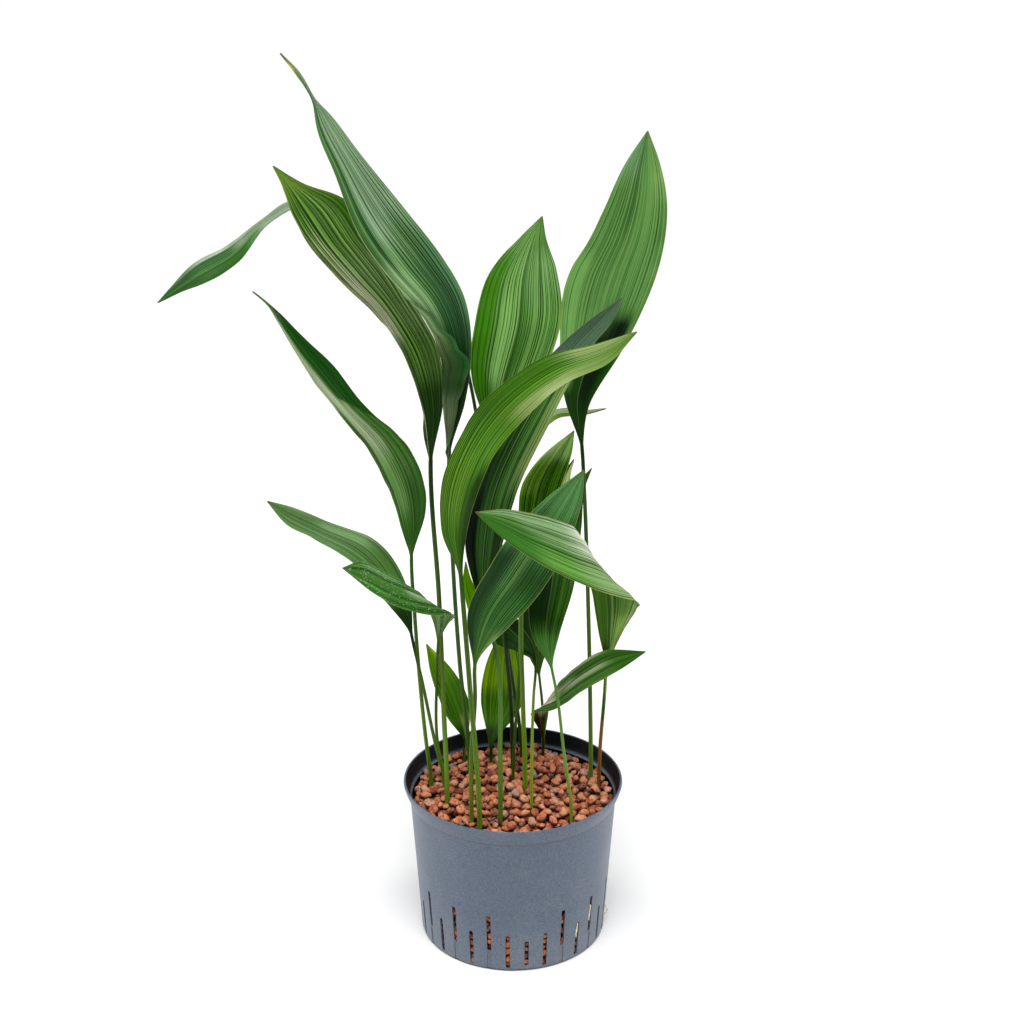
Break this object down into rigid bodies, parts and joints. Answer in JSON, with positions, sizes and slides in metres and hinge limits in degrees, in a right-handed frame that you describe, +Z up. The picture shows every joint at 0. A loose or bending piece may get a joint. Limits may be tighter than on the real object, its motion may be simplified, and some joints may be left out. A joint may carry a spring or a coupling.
{
  "type": "potted cast iron plant",
  "caption": "Tall broad-leaved foliage plant on long stalks in a tapered, slotted culture pot filled with clay granules.",
  "frame": {"origin": "middle of the pot's underside, on the surface that it stands on", "axes": "+Z up along the pot's axis; -Y is the side that the plant is seen from; +X to the right seen from there"},
  "size_m": [0.5508, 0.297, 1.0093],
  "materials": {
    "pot": "smooth satin slate-grey polypropylene",
    "granules": "matt fired clay",
    "roots": "pale, matt",
    "foliage_deep": "satin leaf with a thin wax",
    "foliage_fresh": "satin leaf with a thin wax",
    "foliage_lime": "satin leaf with a thin wax",
    "foliage_mid": "satin leaf with a thin wax"
  },
  "bodies": {
    "root": {"pot": "pot", "granule_bed": "granules", "root_1": "roots", "root_2": "roots", "root_3": "roots", "leaf_01": "foliage_deep", "leaf_02": "foliage_mid", "leaf_03": "foliage_mid", "leaf_04": "foliage_mid", "leaf_05": "foliage_deep", "leaf_06": "foliage_mid", "leaf_07": "foliage_fresh", "leaf_08": "foliage_fresh", "leaf_09": "foliage_deep", "leaf_10": "foliage_fresh", "leaf_11": "foliage_lime", "leaf_12": "foliage_lime", "leaf_13": "foliage_deep", "leaf_14": "foliage_mid", "leaf_15": "foliage_mid", "leaf_16": "foliage_deep", "leaf_17": "foliage_lime", "leaf_18": "foliage_deep", "leaf_19": "foliage_lime", "leaf_20": "foliage_lime"}
  },
  "joints": []
}
